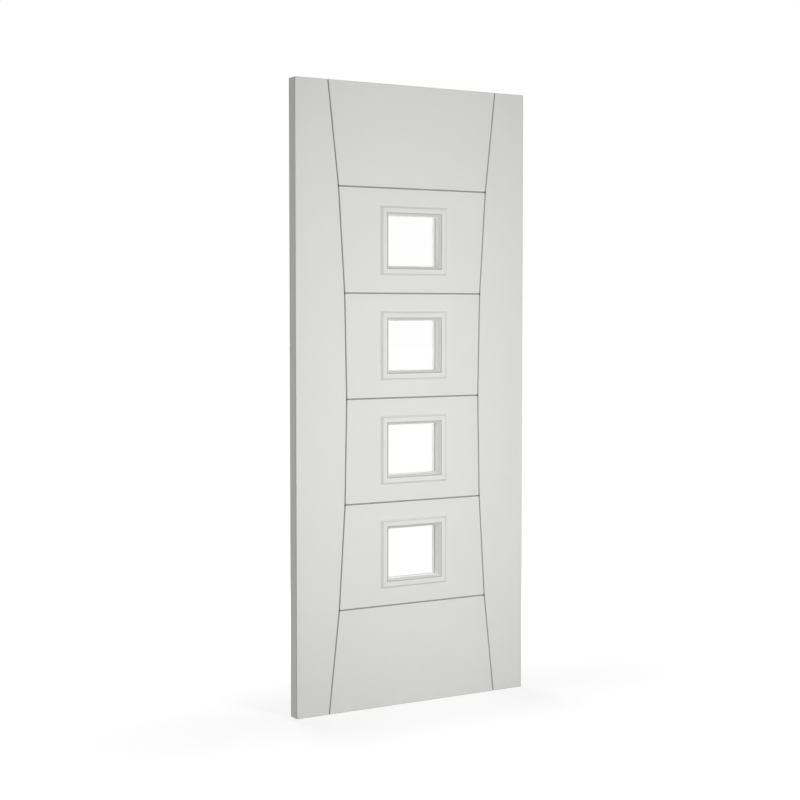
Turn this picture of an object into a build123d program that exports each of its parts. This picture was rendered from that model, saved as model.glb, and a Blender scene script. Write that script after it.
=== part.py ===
"""Internal door leaf with four glazed lights: a timber core between two grooved facings, with beaded glass.

X runs across the leaf from the hinge edge to the lock edge, Y through its thickness, with the front at -Y,
and Z up. The origin is in the middle of the hinge edge. Sizes are in millimetres.
"""

import os

from build123d import *

# The leaf, a stock size for an internal doorway
leaf_height = 1981.0
leaf_width = 838.0
core_thickness = 32.0
facing_thickness = 6.0
arris_radius = 1.0  # rounding where the outer face turns to the leaf's edges

# Timber under the facings
lipping_thickness = 8.0
stile_width = 95.0
top_rail_height = 110.0
bottom_rail_height = 180.0
joint_ease = 0.3  # chamfer that leaves each joint between core timbers as a hairline on the leaf's edges

# V-grooves routed into each facing
groove_width = 5.5
groove_depth = 4.0
end_panel_height = 325.5  # from either end of the leaf to the nearest cross groove
end_margin = 112.5  # from the leaf's long edge to the side groove, at the ends of the leaf
outer_margin = 148.5  # the same at the first and the last cross groove
inner_margin = 169.5  # the same at the second and the fourth
middle_margin = 176.0  # the same at the middle one
groove_overrun = 10.0  # how far the cutter runs past the ends of the leaf

# Glass
sight_width = 182.0
sight_height = 158.0
glass_thickness = 6.0
glass_edge_cover = 6.0  # from the sight line to the edge of the glass, under the beads
glass_edge_clearance = 2.0  # from the edge of the glass to the aperture's wall

# Glazing bead, measured outward from the sight line and up from the face of the leaf
bead_width = 31.0
bead_fit_clearance = 0.5  # from the bead to the aperture's wall
bead_foot_height = 3.0  # upright land beside the glass
bead_reveal_splay = 1.5  # lean of the reveal between the foot and the chamfer
bead_chamfer_width = 6.5
bead_chamfer_depth = 7.0
bead_proud = 5.5  # crest of the bead above the facing
bead_crest_width = 16.4
bead_quirk_width = 1.6  # fine V between the crest and the outer bevel
bead_quirk_depth = 1.6
bead_shoulder = 0.4  # drop from the crest to the top of the outer bevel
bead_rim = 0.5  # upright outer edge on the facing
bead_edge_radius = 1.0  # rounding at both edges of the chamfer
mitre_gap = 0.3

leaf_thickness = core_thickness + 2 * facing_thickness
front_face = -leaf_thickness / 2
core_front = -core_thickness / 2
aperture_width = sight_width + 2 * (glass_edge_cover + glass_edge_clearance)
aperture_height = sight_height + 2 * (glass_edge_cover + glass_edge_clearance)
crossing_margins = (outer_margin, inner_margin, middle_margin, inner_margin, outer_margin)
pane_count = len(crossing_margins) - 1
leaf_middle = leaf_width / 2
leaf_top = leaf_height / 2
top_crossing = leaf_top - end_panel_height
panel_pitch = 2 * top_crossing / pane_count
crossing_heights = [top_crossing - i * panel_pitch for i in range(pane_count + 1)]
pane_heights = [height - panel_pitch / 2 for height in crossing_heights[:pane_count]]


def block(x_range, y_range, z_range):
    """A plain block between two corners."""
    low = (x_range[0], y_range[0], z_range[0])
    size = (x_range[1] - x_range[0], y_range[1] - y_range[0], z_range[1] - z_range[0])
    return Pos(*low) * Box(*size, align=(Align.MIN, Align.MIN, Align.MIN))


def pane_block(width, height, y_range, centre_height):
    """A block of a pane's outline, centred on the leaf's width."""
    return block(
        (leaf_middle - width / 2, leaf_middle + width / 2),
        y_range,
        (centre_height - height / 2, centre_height + height / 2),
    )


def cut_apertures(solid):
    """Cuts the pane apertures through a solid."""
    for height in pane_heights:
        solid -= pane_block(aperture_width, aperture_height, (-leaf_thickness, leaf_thickness), height)
    return solid


def core_timber(x_range, z_range):
    """A solid timber of the core's thickness with eased edges."""
    timber = block(x_range, (core_front, -core_front), z_range)
    return chamfer(timber.edges(), joint_ease)


def core_pieces():
    """Lippings, stiles, rails and the infill panel with its four apertures."""
    stile_start = lipping_thickness
    stile_end = lipping_thickness + stile_width
    rail_span = (stile_end, leaf_width - stile_end)
    full_height = (-leaf_top, leaf_top)
    panel_span = (bottom_rail_height - leaf_top, leaf_top - top_rail_height)
    panel = block(rail_span, (core_front, -core_front), panel_span)
    return {
        "hinge_lipping": core_timber((0, stile_start), full_height),
        "hinge_stile": core_timber((stile_start, stile_end), full_height),
        "lock_stile": core_timber((leaf_width - stile_end, leaf_width - stile_start), full_height),
        "lock_lipping": core_timber((leaf_width - stile_start, leaf_width), full_height),
        "top_rail": core_timber(rail_span, (panel_span[1], leaf_top)),
        "bottom_rail": core_timber(rail_span, (-leaf_top, panel_span[0])),
        "core_panel": cut_apertures(panel),
    }


def side_groove_line():
    """Points down the hinge side's groove, as distance from the long edge and height."""
    first_slope = (outer_margin - end_margin) / end_panel_height
    beyond_margin = end_margin - first_slope * groove_overrun
    beyond_height = leaf_top + groove_overrun
    crossings = zip(crossing_margins, crossing_heights)
    return [(beyond_margin, beyond_height), *crossings, (beyond_margin, -beyond_height)]


def groove_cutter(points):
    """A V-shaped cutter swept along points on the front face, mitred at its bends."""
    path = Polyline(*[(x, front_face, z) for x, z in points])
    start = Plane(origin=path @ 0, x_dir=(0, 1, 0), z_dir=path % 0)
    vee = start * make_face(
        Polyline((0, -groove_width / 2), (groove_depth, 0), (0, groove_width / 2), close=True)
    )
    return sweep(vee, path=path, transition=Transition.RIGHT)


def front_facing():
    """The routed board on the front of the core."""
    board = block((0, leaf_width), (front_face, core_front), (-leaf_top, leaf_top))
    outer_edges = board.faces().sort_by(Axis.Y)[0].edges()
    board = cut_apertures(fillet(outer_edges, arris_radius))
    hinge_line = side_groove_line()
    board -= groove_cutter(hinge_line)
    board -= groove_cutter([(leaf_width - margin, height) for margin, height in hinge_line])
    for margin, height in zip(crossing_margins, crossing_heights):
        board -= groove_cutter([(margin, height), (leaf_width - margin, height)])
    return board


def bead_section():
    """The bead's outline: across from the sight line, and up from the face of the leaf."""
    glass_level = -(leaf_thickness - glass_thickness) / 2
    chamfer_low = (bead_reveal_splay, bead_proud - bead_chamfer_depth)
    chamfer_high = (bead_reveal_splay + bead_chamfer_width, bead_proud)
    crest_end = chamfer_high[0] + bead_crest_width
    body_width = glass_edge_cover + glass_edge_clearance - bead_fit_clearance
    outline = Polyline(
        (0, glass_level),
        (0, glass_level + bead_foot_height),
        chamfer_low,
        chamfer_high,
        (crest_end, bead_proud),
        (crest_end + bead_quirk_width / 2, bead_proud - bead_quirk_depth),
        (crest_end + bead_quirk_width, bead_proud - bead_shoulder),
        (bead_width, bead_rim),
        (bead_width, 0),
        (body_width, 0),
        (body_width, glass_level),
        close=True,
    )
    section = make_face(outline)
    edges = [section.vertices().sort_by_distance(corner)[0] for corner in (chamfer_low, chamfer_high)]
    return fillet(edges, bead_edge_radius)


def front_bead(sight_length, sight_offset):
    """A mitred front bead over the pane, with the middle of the pane at the origin.

    sight_length is the length of its sight line, and sight_offset how far that line is above the middle.
    """
    half_outer = sight_length / 2 + bead_width
    ends = Plane(origin=(-half_outer, front_face, sight_offset), x_dir=(0, 0, 1), z_dir=(1, 0, 0))
    bar = extrude(ends * bead_section(), amount=2 * half_outer)
    half_sight = sight_length / 2 - mitre_gap / 2
    half_top = half_sight + bead_width
    top = sight_offset + bead_width
    mitres = Plane.XZ.offset(leaf_thickness) * make_face(
        Polyline(
            (-half_sight, sight_offset), (half_sight, sight_offset), (half_top, top), (-half_top, top), close=True
        )
    )
    return bar & extrude(mitres, amount=-2 * leaf_thickness)


def glazing_pieces():
    """The glass of each light, and the four mitred beads that hold it on each face of the leaf."""
    over = front_bead(sight_width, sight_height / 2)
    beside = front_bead(sight_height, sight_width / 2)
    turned = {
        "top": over,
        "lock": Rot(0, 90, 0) * beside,
        "bottom": Rot(0, 180, 0) * over,
        "hinge": Rot(0, -90, 0) * beside,
    }
    pieces = {}
    for number, height in enumerate(pane_heights, start=1):
        pieces[f"glass_{number}"] = pane_block(
            sight_width + 2 * glass_edge_cover,
            sight_height + 2 * glass_edge_cover,
            (-glass_thickness / 2, glass_thickness / 2),
            height,
        )
        for side, bead in turned.items():
            placed = Pos(leaf_middle, 0, height) * bead
            pieces[f"front_bead_{number}_{side}"] = placed
            pieces[f"back_bead_{number}_{side}"] = mirror(placed, about=Plane.XZ)
    return pieces


def door_pieces():
    """Every piece of the leaf, by name."""
    facing = front_facing()
    return {
        **core_pieces(),
        "front_facing": facing,
        "back_facing": mirror(facing, about=Plane.XZ),
        **glazing_pieces(),
    }


os.makedirs("parts", exist_ok=True)
for name, piece in door_pieces().items():
    export_step(piece, f"parts/{name}.step")
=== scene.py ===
import math

import bpy
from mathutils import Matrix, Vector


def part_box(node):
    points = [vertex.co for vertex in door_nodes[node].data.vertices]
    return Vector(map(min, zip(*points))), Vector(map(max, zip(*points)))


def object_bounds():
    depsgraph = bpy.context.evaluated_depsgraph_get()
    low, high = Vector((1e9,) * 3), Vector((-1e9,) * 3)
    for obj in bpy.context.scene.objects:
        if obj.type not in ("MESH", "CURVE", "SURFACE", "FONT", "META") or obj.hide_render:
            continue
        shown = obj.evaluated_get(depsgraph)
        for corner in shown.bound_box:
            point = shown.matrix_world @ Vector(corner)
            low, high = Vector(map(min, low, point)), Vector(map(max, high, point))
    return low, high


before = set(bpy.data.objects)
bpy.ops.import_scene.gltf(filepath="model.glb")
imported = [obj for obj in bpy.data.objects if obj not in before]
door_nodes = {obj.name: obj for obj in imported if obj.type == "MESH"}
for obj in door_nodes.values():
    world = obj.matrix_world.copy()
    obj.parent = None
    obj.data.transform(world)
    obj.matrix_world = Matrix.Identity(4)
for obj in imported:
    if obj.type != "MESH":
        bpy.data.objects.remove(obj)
cad_low, cad_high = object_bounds()
bpy.ops.object.select_all(action="DESELECT")

# Facings. Each is one fibreboard skin over the whole core, with its V-grooves routed by machine, then
# sanded and sprayed with white primer at the works. The primer sinks into the cut edges of the skins, so
# they stay greyer than the face. The grooves are greyed as painted shade, darkest where two grooves meet.

leaf_middle = (cad_low.x + cad_high.x) / 2
leaf_half_width = (cad_high.x - cad_low.x) / 2
leaf_half_height = (cad_high.z - cad_low.z) / 2
face_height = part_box("back_facing")[1].y  # from the middle of the thickness out to the face of the board
edge_band = 0.0015  # the rounded arris and a little of the face beside it
groove_lip = 0.0002  # below the face, where a groove's grey begins
groove_grey_full = 0.0016  # below the face, where it is at its full grey
pane_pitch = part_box("glass_1")[0].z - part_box("glass_2")[0].z  # the level grooves lie midway between panes
outer_crossing = 2 * pane_pitch  # from half height up or down to the outermost level groove
waist_reach = 0.243  # from the middle of the leaf out to a side groove, at half height
side_bow = 0.0275  # how much further out a side groove lies at the outermost level groove
meeting_reach = 0.0065  # round each meeting of two grooves, the stretch that is darker
meeting_core = meeting_reach / 2  # the part of it that is darkest
primer_white = ("#E2E2E0", "#E6E6E4")
groove_shade_grey = "#AEADAA"
meeting_shade_grey = "#787774"
cut_edge_grey = "#D0CFCD"
board_satin = (0.40, 0.50)  # roughness
primer_index = 1.48  # of refraction
spray_pass = 110.0  # mm between passes of the spray gun
orange_peel = 3.0  # mm; a real one is nearer 1 mm and wouldn't show
peel_depth = 0.0004
peel_relief = 0.10  # share of that depth that shows
noise_span = (0.3, 0.7)  # nearly all of a noise pattern lies between these


def linear(hex_colour):
    """An sRGB hex colour as linear red, green, blue and alpha."""
    levels = [int(hex_colour[i:i + 2], 16) / 255 for i in (1, 3, 5)]
    return [c / 12.92 if c <= 0.04045 else ((c + 0.055) / 1.055) ** 2.4 for c in levels] + [1.0]


def every(millimetres):
    """The scale of a pattern that repeats about every so many millimetres."""
    return 1000.0 / millimetres


def new_material(name, collection=bpy.data.materials):
    """A material, or a world from its own collection, with its node tree emptied."""
    material = collection.new(name)
    material.use_nodes = True
    material.node_tree.nodes.clear()
    return material


def add_node(material, kind, settings=None, **inputs):
    """Adds a node with its settings and socket values. A value that is a socket is linked instead."""
    node = material.node_tree.nodes.new(kind)
    for name, value in (settings or {}).items():
        setattr(node, name, value)
    for name, value in inputs.items():
        place = int(name[1:]) if name[0] == "_" else name.replace("_", " ")
        if isinstance(value, bpy.types.NodeSocket):
            material.node_tree.links.new(value, node.inputs[place])
        else:
            node.inputs[place].default_value = value
    return node


def paint(names, material):
    """Gives a material to the door's own pieces."""
    for name in names:
        door_nodes[name].data.materials.clear()
        door_nodes[name].data.materials.append(material)


# White primer on fibreboard: an even satin white with a faint orange peel, greyer on the cut edges, very
# slightly uneven from one pass of the spray gun to the next, and greyed in the grooves as painted shade. A
# side groove's bow is near enough to a parabola to find the small dark spot of painted shade where each level
# groove meets it.
board_primer = new_material("sprayed_primer_on_fibreboard")
place = add_node(board_primer, "ShaderNodeTexCoord").outputs["Object"]
offset = add_node(
    board_primer, "ShaderNodeVectorMath", {"operation": "SUBTRACT"}, _0=place, _1=(leaf_middle, 0.0, 0.0)
).outputs[0]
reach = add_node(board_primer, "ShaderNodeVectorMath", {"operation": "ABSOLUTE"}, _0=offset).outputs[0]
from_middle = add_node(board_primer, "ShaderNodeSeparateXYZ", Vector=reach).outputs
within_width = add_node(
    board_primer, "ShaderNodeMath", {"operation": "LESS_THAN"},
    _0=from_middle["X"], _1=leaf_half_width - edge_band,
).outputs[0]
within_height = add_node(
    board_primer, "ShaderNodeMath", {"operation": "LESS_THAN"},
    _0=from_middle["Z"], _1=leaf_half_height - edge_band,
).outputs[0]
on_face = add_node(
    board_primer, "ShaderNodeMath", {"operation": "MULTIPLY"}, _0=within_width, _1=within_height
).outputs[0]
below_face = add_node(
    board_primer, "ShaderNodeMapRange", Value=from_middle["Y"],
    From_Min=face_height - groove_grey_full, From_Max=face_height - groove_lip, To_Min=1.0, To_Max=0.0,
).outputs[0]
in_groove = add_node(
    board_primer, "ShaderNodeMath", {"operation": "MULTIPLY"}, _0=below_face, _1=on_face
).outputs[0]
height_squared = add_node(
    board_primer, "ShaderNodeMath", {"operation": "MULTIPLY"}, _0=from_middle["Z"], _1=from_middle["Z"]
).outputs[0]
side_reach = add_node(
    board_primer, "ShaderNodeMath", {"operation": "MULTIPLY_ADD"},
    _0=height_squared, _1=side_bow / outer_crossing ** 2, _2=waist_reach,
).outputs[0]
off_side_groove = add_node(
    board_primer, "ShaderNodeMath", {"operation": "SUBTRACT"}, _0=from_middle["X"], _1=side_reach
).outputs[0]
off_level_groove = add_node(
    board_primer, "ShaderNodeMath", {"operation": "PINGPONG"}, _0=from_middle["Z"], _1=pane_pitch / 2
).outputs[0]
off_meeting = add_node(
    board_primer, "ShaderNodeCombineXYZ", X=off_side_groove, Y=off_level_groove
).outputs[0]
meeting_distance = add_node(
    board_primer, "ShaderNodeVectorMath", {"operation": "LENGTH"}, _0=off_meeting
).outputs["Value"]
near_meeting = add_node(
    board_primer, "ShaderNodeMapRange", Value=meeting_distance,
    From_Min=meeting_core, From_Max=meeting_reach, To_Min=1.0, To_Max=0.0,
).outputs[0]
at_meeting = add_node(
    board_primer, "ShaderNodeMath", {"operation": "MULTIPLY"}, _0=near_meeting, _1=in_groove
).outputs[0]
mottle = add_node(
    board_primer, "ShaderNodeTexNoise", Vector=place, Scale=every(spray_pass), Detail=4.0, Roughness=0.6
).outputs["Fac"]
peel = add_node(
    board_primer, "ShaderNodeTexNoise", Vector=place, Scale=every(orange_peel), Detail=3.0, Roughness=0.55
).outputs["Fac"]
white = add_node(
    board_primer, "ShaderNodeMix", {"data_type": "RGBA"},
    _0=mottle, _6=linear(primer_white[0]), _7=linear(primer_white[1]),
).outputs[2]
# Painted shade: the grooves are greyed to stand for the shade in them.
groove_shaded = add_node(
    board_primer, "ShaderNodeMix", {"data_type": "RGBA"}, _0=in_groove, _6=white, _7=linear(groove_shade_grey)
).outputs[2]
# Painted shade: a darker spot where two grooves meet.
meeting_shaded = add_node(
    board_primer, "ShaderNodeMix", {"data_type": "RGBA"}, _0=at_meeting, _6=groove_shaded, _7=linear(meeting_shade_grey)
).outputs[2]
colour = add_node(
    board_primer, "ShaderNodeMix", {"data_type": "RGBA"}, _0=on_face, _6=linear(cut_edge_grey), _7=meeting_shaded
).outputs[2]
gloss = add_node(
    board_primer, "ShaderNodeMapRange", Value=mottle,
    From_Min=noise_span[0], From_Max=noise_span[1], To_Min=board_satin[0], To_Max=board_satin[1],
).outputs[0]
surface = add_node(
    board_primer, "ShaderNodeBump", Strength=peel_relief, Distance=peel_depth, Height=peel
).outputs[0]
primed = add_node(
    board_primer, "ShaderNodeBsdfPrincipled",
    Base_Color=colour, Roughness=gloss, Normal=surface, IOR=primer_index,
).outputs[0]
add_node(board_primer, "ShaderNodeOutputMaterial", Surface=primed)
paint(["front_facing", "back_facing"], board_primer)

# Core timbers. Stiles, rails and lippings are softwood round a chipboard core, glued up under the facings.
# Only their edges show, planed flat and sprayed with the same primer, and the grain raises it a little along
# each length.

timber_white = ("#DFDFDE", "#E5E5E4")
timber_satin = (0.44, 0.54)
ring_width = 4.0  # mm across the grain
grain_length = 110.0  # mm along it
grain_depth = 0.0004
grain_relief = 0.18
timbers_by_run = {
    "upright": ["hinge_lipping", "hinge_stile", "lock_stile", "lock_lipping"],
    "level": ["top_rail", "bottom_rail", "core_panel"],
}
timber_scales = {
    "upright": (every(ring_width), every(ring_width), every(grain_length)),
    "level": (every(grain_length), every(ring_width), every(ring_width)),
}

# White primer on planed softwood: the same white, duller, with long faint ridges where the grain is raised.
for run, names in timbers_by_run.items():
    timber_primer = new_material(f"sprayed_primer_on_softwood_{run}")
    place = add_node(timber_primer, "ShaderNodeTexCoord").outputs["Object"]
    drawn_out = add_node(
        timber_primer, "ShaderNodeMapping", Vector=place, Scale=timber_scales[run]
    ).outputs[0]
    grain = add_node(
        timber_primer, "ShaderNodeTexNoise", Vector=drawn_out, Scale=1.0, Detail=3.0, Distortion=0.4
    ).outputs["Fac"]
    colour = add_node(
        timber_primer, "ShaderNodeMix", {"data_type": "RGBA"},
        _0=grain, _6=linear(timber_white[0]), _7=linear(timber_white[1]),
    ).outputs[2]
    gloss = add_node(
        timber_primer, "ShaderNodeMapRange", Value=grain,
        From_Min=noise_span[0], From_Max=noise_span[1], To_Min=timber_satin[0], To_Max=timber_satin[1],
    ).outputs[0]
    surface = add_node(
        timber_primer, "ShaderNodeBump", Strength=grain_relief, Distance=grain_depth, Height=grain
    ).outputs[0]
    primed = add_node(
        timber_primer, "ShaderNodeBsdfPrincipled",
        Base_Color=colour, Roughness=gloss, Normal=surface, IOR=primer_index,
    ).outputs[0]
    add_node(timber_primer, "ShaderNodeOutputMaterial", Surface=primed)
    paint(names, timber_primer)

# Glazing beads. Four mitred lengths of raised softwood moulding frame each pane on each face, pinned to the
# core and primed with the door. The steep chamfer, a line on the arris where it meets the crest, and the fine
# quirk outside the crest are greyed as painted shade, and the reveal next to the glass is whitened as painted
# light.

glass_low, glass_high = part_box("glass_1")
pane_middle = (glass_low.z + glass_high.z) / 2
pane_numbers = range(1, 5)  # from the top
sight_half_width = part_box("back_bead_1_lock")[0].x - leaf_middle
sight_half_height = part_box("back_bead_1_top")[0].z - pane_middle
chamfer_drop = 0.0015  # below the face of the door, where the chamfer starts
chamfer_reach = 0.0079  # out from the sight line to the chamfer's outer edge
chamfer_fade = 0.0004  # half the width over which its grey fades
chamfer_foot = face_height - chamfer_drop
reveal_end = chamfer_foot - 2 * chamfer_fade
arris_middle = 0.0090  # out from the sight line to the middle of the arris's grey line
arris_half = 0.0014  # half the width of that line
quirk_middle = 0.0252  # out from the sight line to the bottom of the quirk
quirk_half = 0.0010  # half the width of its grey line
line_core = 0.6  # share of a grey line's width that is at its full grey
bead_white = ("#E3E3E1", "#E8E8E6")
# Painted light: the reveal's white lifts the shade it stands in.
reveal_light_white = "#F2F2F1"
# Painted shade: the chamfer, arris and quirk greys.
chamfer_shade_grey = "#DCDCDA"
arris_shade_grey = "#A6A6A3"
quirk_shade_grey = "#D8D8D6"
bead_satin = (0.36, 0.46)
moulding_ring = 3.3  # mm across the grain
moulding_grain = 70.0  # mm along it
moulding_depth = 0.0003
moulding_relief = 0.05
bead_sides = {"level": ["top", "bottom"], "upright": ["hinge", "lock"]}
bead_scales = {
    "level": (every(moulding_grain), every(moulding_ring), every(moulding_ring)),
    "upright": (every(moulding_ring), every(moulding_ring), every(moulding_grain)),
}

# White primer on a moulded softwood bead: a little whiter and smoother than the board, with painted shade as
# a grey chamfer and grey lines along the arris and the quirk round each pane, and painted light in a whitened
# reveal.
for run, sides in bead_sides.items():
    bead_primer = new_material(f"sprayed_primer_on_bead_{run}")
    place = add_node(bead_primer, "ShaderNodeTexCoord").outputs["Object"]
    along = add_node(bead_primer, "ShaderNodeSeparateXYZ", Vector=place).outputs
    if run == "upright":
        across = add_node(
            bead_primer, "ShaderNodeMath", {"operation": "SUBTRACT"}, _0=along["X"], _1=leaf_middle
        ).outputs[0]
        sight_half = sight_half_width
    else:
        in_pitch = add_node(
            bead_primer, "ShaderNodeMath", {"operation": "FLOORED_MODULO"}, _0=along["Z"], _1=pane_pitch
        ).outputs[0]
        across = add_node(
            bead_primer, "ShaderNodeMath", {"operation": "SUBTRACT"}, _0=in_pitch, _1=pane_pitch / 2
        ).outputs[0]
        sight_half = sight_half_height
    from_centre = add_node(bead_primer, "ShaderNodeMath", {"operation": "ABSOLUTE"}, _0=across).outputs[0]
    from_sight = add_node(
        bead_primer, "ShaderNodeMath", {"operation": "SUBTRACT"}, _0=from_centre, _1=sight_half
    ).outputs[0]
    height = add_node(bead_primer, "ShaderNodeMath", {"operation": "ABSOLUTE"}, _0=along["Y"]).outputs[0]
    near_glass = add_node(
        bead_primer, "ShaderNodeMapRange", Value=from_sight,
        From_Min=chamfer_reach - chamfer_fade, From_Max=chamfer_reach + chamfer_fade, To_Min=1.0, To_Max=0.0,
    ).outputs[0]
    above_foot = add_node(
        bead_primer, "ShaderNodeMapRange", Value=height,
        From_Min=reveal_end, From_Max=chamfer_foot + chamfer_fade,
    ).outputs[0]
    on_chamfer = add_node(
        bead_primer, "ShaderNodeMath", {"operation": "MULTIPLY"}, _0=near_glass, _1=above_foot
    ).outputs[0]
    in_reveal = add_node(
        bead_primer, "ShaderNodeMapRange", Value=height,
        From_Min=reveal_end, From_Max=chamfer_foot, To_Min=1.0, To_Max=0.0,
    ).outputs[0]
    past_arris = add_node(
        bead_primer, "ShaderNodeMath", {"operation": "SUBTRACT"}, _0=from_sight, _1=arris_middle
    ).outputs[0]
    off_arris = add_node(bead_primer, "ShaderNodeMath", {"operation": "ABSOLUTE"}, _0=past_arris).outputs[0]
    near_arris = add_node(
        bead_primer, "ShaderNodeMapRange", Value=off_arris,
        From_Min=line_core * arris_half, From_Max=arris_half, To_Min=1.0, To_Max=0.0,
    ).outputs[0]
    on_arris = add_node(
        bead_primer, "ShaderNodeMath", {"operation": "MULTIPLY"}, _0=near_arris, _1=above_foot
    ).outputs[0]
    past_quirk = add_node(
        bead_primer, "ShaderNodeMath", {"operation": "SUBTRACT"}, _0=from_sight, _1=quirk_middle
    ).outputs[0]
    off_quirk = add_node(
        bead_primer, "ShaderNodeMath", {"operation": "ABSOLUTE"}, _0=past_quirk
    ).outputs[0]
    in_quirk = add_node(
        bead_primer, "ShaderNodeMapRange", Value=off_quirk,
        From_Min=line_core * quirk_half, From_Max=quirk_half, To_Min=1.0, To_Max=0.0,
    ).outputs[0]
    drawn_out = add_node(bead_primer, "ShaderNodeMapping", Vector=place, Scale=bead_scales[run]).outputs[0]
    grain = add_node(
        bead_primer, "ShaderNodeTexNoise", Vector=drawn_out, Scale=1.0, Detail=3.0
    ).outputs["Fac"]
    white = add_node(
        bead_primer, "ShaderNodeMix", {"data_type": "RGBA"},
        _0=grain, _6=linear(bead_white[0]), _7=linear(bead_white[1]),
    ).outputs[2]
    # Painted light: the reveal is whitened to lift its shade.
    reveal_lightened = add_node(
        bead_primer, "ShaderNodeMix", {"data_type": "RGBA"}, _0=in_reveal, _6=white, _7=linear(reveal_light_white)
    ).outputs[2]
    # Painted shade: the chamfer is greyed.
    chamfer_shaded = add_node(
        bead_primer, "ShaderNodeMix", {"data_type": "RGBA"},
        _0=on_chamfer, _6=reveal_lightened, _7=linear(chamfer_shade_grey),
    ).outputs[2]
    # Painted shade: a grey line along the arris.
    arris_shaded = add_node(
        bead_primer, "ShaderNodeMix", {"data_type": "RGBA"}, _0=on_arris, _6=chamfer_shaded, _7=linear(arris_shade_grey)
    ).outputs[2]
    # Painted shade: a grey line in the quirk.
    colour = add_node(
        bead_primer, "ShaderNodeMix", {"data_type": "RGBA"}, _0=in_quirk, _6=arris_shaded, _7=linear(quirk_shade_grey)
    ).outputs[2]
    gloss = add_node(
        bead_primer, "ShaderNodeMapRange", Value=grain,
        From_Min=noise_span[0], From_Max=noise_span[1], To_Min=bead_satin[0], To_Max=bead_satin[1],
    ).outputs[0]
    surface = add_node(
        bead_primer, "ShaderNodeBump", Strength=moulding_relief, Distance=moulding_depth, Height=grain
    ).outputs[0]
    primed = add_node(
        bead_primer, "ShaderNodeBsdfPrincipled",
        Base_Color=colour, Roughness=gloss, Normal=surface, IOR=primer_index,
    ).outputs[0]
    add_node(bead_primer, "ShaderNodeOutputMaterial", Surface=primed)
    for face in ("front", "back"):
        for number in pane_numbers:
            paint([f"{face}_bead_{number}_{side}" for side in sides], bead_primer)

# Panes. Each is a sheet of clear float glass, 6 mm thick, cut to size and held between the feet of the beads
# on the two faces. It is left clear, so the white behind the door shows through.

glass_tint = "#FDFEFD"
glass_index = 1.52  # of refraction

# Clear float glass: almost no tint across its thickness, polished, with only a light reflection.
float_glass = new_material("clear_float_glass")
ray = add_node(float_glass, "ShaderNodeLightPath").outputs
polished = add_node(
    float_glass, "ShaderNodeBsdfPrincipled",
    Base_Color=linear(glass_tint), Roughness=0.0, IOR=glass_index, Transmission_Weight=1.0,
).outputs[0]
lets_light_by = add_node(float_glass, "ShaderNodeBsdfTransparent", Color=linear(glass_tint)).outputs[0]
glazed = add_node(
    float_glass, "ShaderNodeMixShader", _0=ray["Is Shadow Ray"], _1=polished, _2=lets_light_by
).outputs[0]
add_node(float_glass, "ShaderNodeOutputMaterial", Surface=glazed)
paint([f"glass_{number}" for number in pane_numbers], float_glass)

# Studio floor. The door stands on a wide pale floor, which shows as white away from the door. Near the door
# it glows less, a painted darker patch that lets the soft shadow at its foot be seen and deepens it.

floor_span = 80.0
shadow_from = 0.25  # m out from the middle of the door's foot, where the glow starts to rise
shadow_to = 0.9  # where it is full
shadow_oval = (0.5, 1.0, 0.0)  # the darker patch is twice as long across the door as it is deep
glow_at_foot = 0.60
full_glow = 0.80
background_white = "#FFFFFF"
shown_paint = "#BCBCBC"  # under the glow
lit_paint = "#C8C8C8"  # where it throws light back
bpy.ops.mesh.primitive_plane_add(size=floor_span, location=(leaf_middle, 0.0, cad_low.z))
floor = bpy.context.object
floor.name = "studio_floor"

# Painted studio floor: matt and pale. Where it is looked at, straight or through glass, a darker paint with
# a glow gives the white background, and a plain paint throws the light back at the door.
floor_paint = new_material("matt_floor_paint")
ray = add_node(floor_paint, "ShaderNodeLightPath").outputs
seen = add_node(
    floor_paint, "ShaderNodeMath", {"operation": "MAXIMUM"}, _0=ray["Is Camera Ray"], _1=ray["Is Glossy Ray"]
).outputs[0]
seen = add_node(
    floor_paint, "ShaderNodeMath", {"operation": "MAXIMUM"}, _0=seen, _1=ray["Is Transmission Ray"]
).outputs[0]
place = add_node(floor_paint, "ShaderNodeTexCoord").outputs["Object"]
from_foot = add_node(
    floor_paint, "ShaderNodeVectorMath", {"operation": "MULTIPLY"}, _0=place, _1=shadow_oval
).outputs[0]
distance = add_node(
    floor_paint, "ShaderNodeVectorMath", {"operation": "LENGTH"}, _0=from_foot
).outputs["Value"]
# Painted shadow: the glow dims in an oval round the door's foot, under its real shadow.
glow = add_node(
    floor_paint, "ShaderNodeMapRange", Value=distance,
    From_Min=shadow_from, From_Max=shadow_to, To_Min=glow_at_foot, To_Max=full_glow,
).outputs[0]
white_glow = add_node(
    floor_paint, "ShaderNodeEmission", Color=linear(background_white), Strength=glow
).outputs[0]
pale = add_node(floor_paint, "ShaderNodeBsdfDiffuse", Color=linear(shown_paint)).outputs[0]
white_floor = add_node(floor_paint, "ShaderNodeAddShader", _0=pale, _1=white_glow).outputs[0]
lit_floor = add_node(floor_paint, "ShaderNodeBsdfDiffuse", Color=linear(lit_paint)).outputs[0]
shown = add_node(floor_paint, "ShaderNodeMixShader", _0=seen, _1=lit_floor, _2=white_floor).outputs[0]
add_node(floor_paint, "ShaderNodeOutputMaterial", Surface=shown)
floor.data.materials.append(floor_paint)

# Studio light. A white surround gives an even fill. A tall strip of light stands close in front of the door,
# a large softbox behind it lights the whole face, and a third lamp lights the back.

fill_light = 0.415  # on the door, where the camera sees a full white

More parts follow.
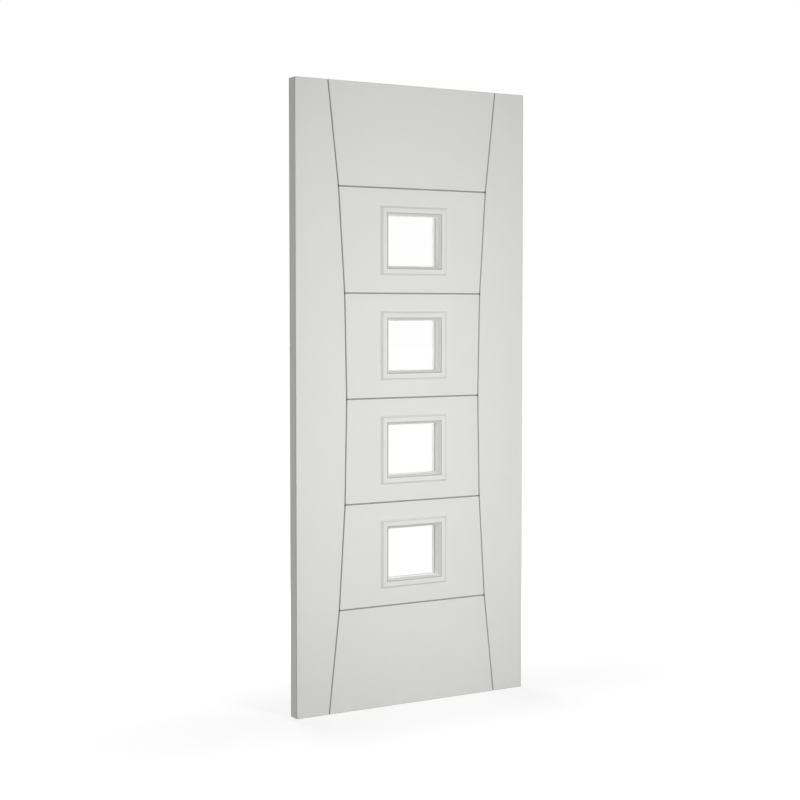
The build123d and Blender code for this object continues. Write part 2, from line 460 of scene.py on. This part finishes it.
# White surround: it shows as white, and lights the door less.
surround = new_material("white_surround", bpy.data.worlds)
bpy.context.scene.world = surround
ray = add_node(surround, "ShaderNodeLightPath").outputs
seen = add_node(
    surround, "ShaderNodeMath", {"operation": "MAXIMUM"}, _0=ray["Is Camera Ray"], _1=ray["Is Glossy Ray"]
).outputs[0]
seen = add_node(
    surround, "ShaderNodeMath", {"operation": "MAXIMUM"}, _0=seen, _1=ray["Is Transmission Ray"]
).outputs[0]
strength = add_node(
    surround, "ShaderNodeMapRange", Value=seen, To_Min=fill_light, To_Max=1.0
).outputs[0]
white_sky = add_node(
    surround, "ShaderNodeBackground", Color=linear(background_white), Strength=strength
).outputs[0]
add_node(surround, "ShaderNodeOutputWorld", Surface=white_sky)

softboxes = {
    # name: (place, turn about X in degrees, width, height, watts)
    "front_strip_light": ((leaf_middle + 0.05, -1.1, 0.05), 90, 0.3, 2.3, 6.5),
    "front_softbox": ((leaf_middle + 0.06, -2.8, -0.3), 90, 2.4, 2.0, 22.5),
    "back_softbox": ((leaf_middle, 2.2, 0.2), -90, 1.4, 1.4, 26.0),
}
for name, (lamp_place, turn, width, tall, watts) in softboxes.items():
    bpy.ops.object.light_add(type="AREA", location=lamp_place, rotation=(math.radians(turn), 0.0, 0.0))
    softbox = bpy.context.object
    softbox.name = name
    softbox.data.shape = "RECTANGLE"
    softbox.data.size = width
    softbox.data.size_y = tall
    softbox.data.energy = watts

# Camera. It stands to the left of the door, about 1.3 m above the floor, and looks very slightly down. Its
# place, turn and lens are fitted to the corners and grooves of the face in the photograph.

camera_place = (-2.0196, -4.2278, 0.2778)
turned_right = 29.58  # degrees
tipped_down = 2.77
lens_length = 68.24  # mm
frame_width = 36.0  # mm
frame_shift = -0.02  # share of the frame's width
bpy.ops.object.camera_add(
    location=camera_place,
    rotation=(math.radians(90 - tipped_down), 0.0, math.radians(-turned_right)),
)
camera = bpy.context.object
camera.name = "studio_camera"
camera.data.sensor_width = frame_width
camera.data.lens = lens_length
camera.data.shift_y = frame_shift
bpy.context.scene.camera = camera
bpy.context.scene.view_settings.view_transform = "Standard"
